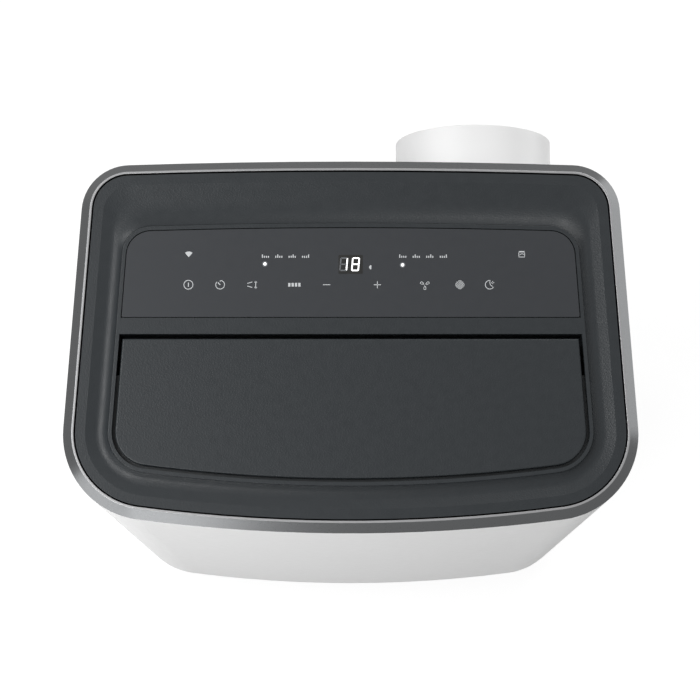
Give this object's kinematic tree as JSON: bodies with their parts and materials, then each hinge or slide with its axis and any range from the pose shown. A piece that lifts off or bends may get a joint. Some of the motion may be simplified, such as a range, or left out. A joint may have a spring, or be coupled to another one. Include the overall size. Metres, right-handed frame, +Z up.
{
  "type": "portable air conditioner",
  "caption": "Tall cabinet on castors with a flap over the top air outlet, a touch control panel, rear intake grilles with filters and a round exhaust stub for a hose.",
  "frame": {"origin": "on the floor under the middle of the overall box", "axes": "+Z up, the front faces -Y, the exhaust stub points along +Y on the +X side"},
  "size_m": [0.496, 0.397, 0.74],
  "materials": {
    "casing_white": "smooth satin moulding",
    "stub_white": "smooth satin moulding",
    "bezel_silver": "satin silver",
    "top_charcoal": "fine leather-like moulded grain",
    "panel_charcoal": "smooth satin",
    "display_black": "dark",
    "board_green": "circuit board",
    "grip_grey": "moulded",
    "inner_black": "moulded",
    "filter_grey": "net",
    "inner_grey": "moulded",
    "fin_aluminium": "pressed fins",
    "copper": "drawn tube",
    "steel": "bright zinc",
    "motor_grey": "painted",
    "compressor_black": "painted",
    "rubber_black": "moulded",
    "castor_grey": "moulded",
    "castor_tread": "moulded"
  },
  "bodies": {
    "cabinet": {"front_cover": "casing_white", "rear_cover": "casing_white", "exhaust_collar": "stub_white", "bezel_ring": "bezel_silver", "top_cover": "top_charcoal", "deck_frame": "top_charcoal", "control_panel": "panel_charcoal", "display_module": "display_black", "control_board": "board_green", "handle_cup_left": "grip_grey", "handle_cup_right": "grip_grey", "outlet_duct": "inner_black", "outlet_grille": "inner_black", "flap_motor": "inner_black", "splash_motor": "inner_black", "evaporator_blower_housing": "inner_grey", "condenser_blower_housing": "inner_grey", "exhaust_duct": "inner_grey", "middle_deck": "inner_grey", "base_pan": "inner_grey", "drain_spouts": "inner_grey", "evaporator_coil": "fin_aluminium", "condenser_coil": "fin_aluminium", "coil_bends": "copper", "refrigerant_pipes": "copper", "electrical_box": "steel", "case_screws": "steel", "castor_plates": "steel", "evaporator_blower_motor": "motor_grey", "condenser_blower_motor": "motor_grey", "compressor": "compressor_black", "accumulator": "compressor_black", "compressor_mounts": "rubber_black", "cord_gland": "rubber_black"},
    "flap": {"air_flap": "top_charcoal", "flap_pins": "steel"},
    "evaporator_fan": {"evaporator_blower_wheel": "inner_black", "evaporator_motor_shaft": "steel"},
    "condenser_fan": {"condenser_blower_wheel": "inner_black", "condenser_motor_shaft": "steel"},
    "splasher": {"splash_wheel": "inner_black"},
    "adaptor": {"exhaust_adaptor": "stub_white"},
    "upper_screen": {"upper_grille": "casing_white", "upper_filter": "filter_grey"},
    "lower_screen": {"lower_grille": "casing_white", "lower_filter": "filter_grey"},
    "upper_cap": {"drain_cap_upper": "rubber_black"},
    "lower_cap": {"drain_cap_lower": "rubber_black"},
    "swivel_front_left": {"castor_fork_front_left": "castor_grey", "castor_axle_front_left": "steel"},
    "roller_front_left": {"castor_wheel_front_left": "castor_tread"},
    "swivel_front_right": {"castor_fork_front_right": "castor_grey", "castor_axle_front_right": "steel"},
    "roller_front_right": {"castor_wheel_front_right": "castor_tread"},
    "swivel_rear_left": {"castor_fork_rear_left": "castor_grey", "castor_axle_rear_left": "steel"},
    "roller_rear_left": {"castor_wheel_rear_left": "castor_tread"},
    "swivel_rear_right": {"castor_fork_rear_right": "castor_grey", "castor_axle_rear_right": "steel"},
    "roller_rear_right": {"castor_wheel_rear_right": "castor_tread"}
  },
  "joints": [
    {"name": "flap_tilt", "type": "hinge", "parent": "cabinet", "child": "flap", "pos_m": [0, -0.0482, 0.7295], "axis": [-1, 0, 0], "range_deg": [0, 65]},
    {"name": "evaporator_fan_spin", "type": "hinge", "parent": "cabinet", "child": "evaporator_fan", "pos_m": [-0.075, -0.0385, 0.535], "axis": [0, 1, 0], "continuous": true},
    {"name": "condenser_fan_spin", "type": "hinge", "parent": "cabinet", "child": "condenser_fan", "pos_m": [0.085, -0.0085, 0.215], "axis": [0, 1, 0], "continuous": true},
    {"name": "splasher_spin", "type": "hinge", "parent": "cabinet", "child": "splasher", "pos_m": [-0.06, 0.0515, 0.102], "axis": [0, 1, 0], "continuous": true},
    {"name": "adaptor_pull", "type": "slide", "parent": "cabinet", "child": "adaptor", "axis": [0, 1, 0], "range_m": [0, 0.06]},
    {"name": "upper_screen_pull", "type": "slide", "parent": "cabinet", "child": "upper_screen", "axis": [0, 1, 0], "range_m": [0, 0.06]},
    {"name": "lower_screen_pull", "type": "slide", "parent": "cabinet", "child": "lower_screen", "axis": [0, 1, 0], "range_m": [0, 0.06]},
    {"name": "upper_cap_pull", "type": "slide", "parent": "cabinet", "child": "upper_cap", "axis": [0, 1, 0], "range_m": [0, 0.03]},
    {"name": "lower_cap_pull", "type": "slide", "parent": "cabinet", "child": "lower_cap", "axis": [0, 1, 0], "range_m": [0, 0.03]},
    {"name": "castor_swivel_front_left", "type": "hinge", "parent": "cabinet", "child": "swivel_front_left", "pos_m": [-0.183, -0.1265, 0.05], "axis": [0, 0, 1], "continuous": true},
    {"name": "castor_roll_front_left", "type": "hinge", "parent": "swivel_front_left", "child": "roller_front_left", "pos_m": [-0.183, -0.1115, 0.022], "axis": [1, 0, 0], "continuous": true},
    {"name": "castor_swivel_front_right", "type": "hinge", "parent": "cabinet", "child": "swivel_front_right", "pos_m": [0.183, -0.1265, 0.05], "axis": [0, 0, 1], "continuous": true},
    {"name": "castor_roll_front_right", "type": "hinge", "parent": "swivel_front_right", "child": "roller_front_right", "pos_m": [0.183, -0.1115, 0.022], "axis": [1, 0, 0], "continuous": true},
    {"name": "castor_swivel_rear_left", "type": "hinge", "parent": "cabinet", "child": "swivel_rear_left", "pos_m": [-0.172, 0.0635, 0.05], "axis": [0, 0, 1], "continuous": true},
    {"name": "castor_roll_rear_left", "type": "hinge", "parent": "swivel_rear_left", "child": "roller_rear_left", "pos_m": [-0.172, 0.0785, 0.022], "axis": [1, 0, 0], "continuous": true},
    {"name": "castor_swivel_rear_right", "type": "hinge", "parent": "cabinet", "child": "swivel_rear_right", "pos_m": [0.172, 0.0635, 0.05], "axis": [0, 0, 1], "continuous": true},
    {"name": "castor_roll_rear_right", "type": "hinge", "parent": "swivel_rear_right", "child": "roller_rear_right", "pos_m": [0.172, 0.0785, 0.022], "axis": [1, 0, 0], "continuous": true}
  ]
}
